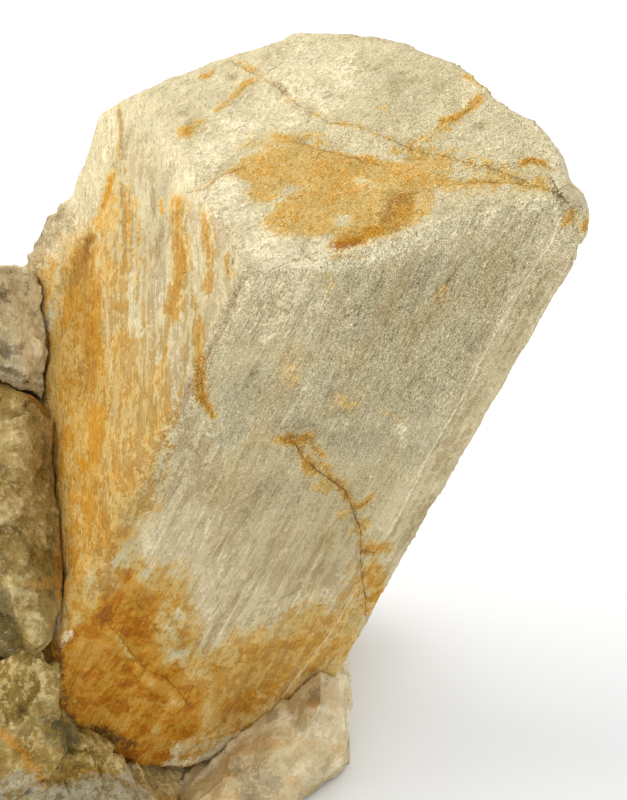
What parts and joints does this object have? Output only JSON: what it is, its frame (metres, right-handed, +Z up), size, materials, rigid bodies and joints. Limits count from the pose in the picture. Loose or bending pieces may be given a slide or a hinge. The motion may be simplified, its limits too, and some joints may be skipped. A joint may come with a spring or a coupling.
{
  "type": "spodumene crystal",
  "caption": "Blocky, striated spodumene crystal that leans out of a rough quartz and feldspar matrix with a flat resting face.",
  "frame": {"origin": "on the flat resting face, near the middle of the matrix", "axes": "+Z up from the resting face; the broad striated face of the crystal looks to -Y; the crystal leans to +X"},
  "size_m": [0.1257, 0.0854, 0.1176],
  "materials": {
    "spodumene": "rough, striated, with ochre and rust stains",
    "grey_feldspar": "rough, broken",
    "smoky_quartz": "smooth, waxy",
    "dark_rock": "rough, granular",
    "pale_quartz": "waxy, slightly translucent"
  },
  "bodies": {
    "root": {"spodumene_crystal": "spodumene", "upper_feldspar_block": "grey_feldspar", "smoky_quartz_tongue": "smoky_quartz", "dark_matrix": "dark_rock", "pale_quartz_matrix": "pale_quartz"}
  },
  "joints": []
}
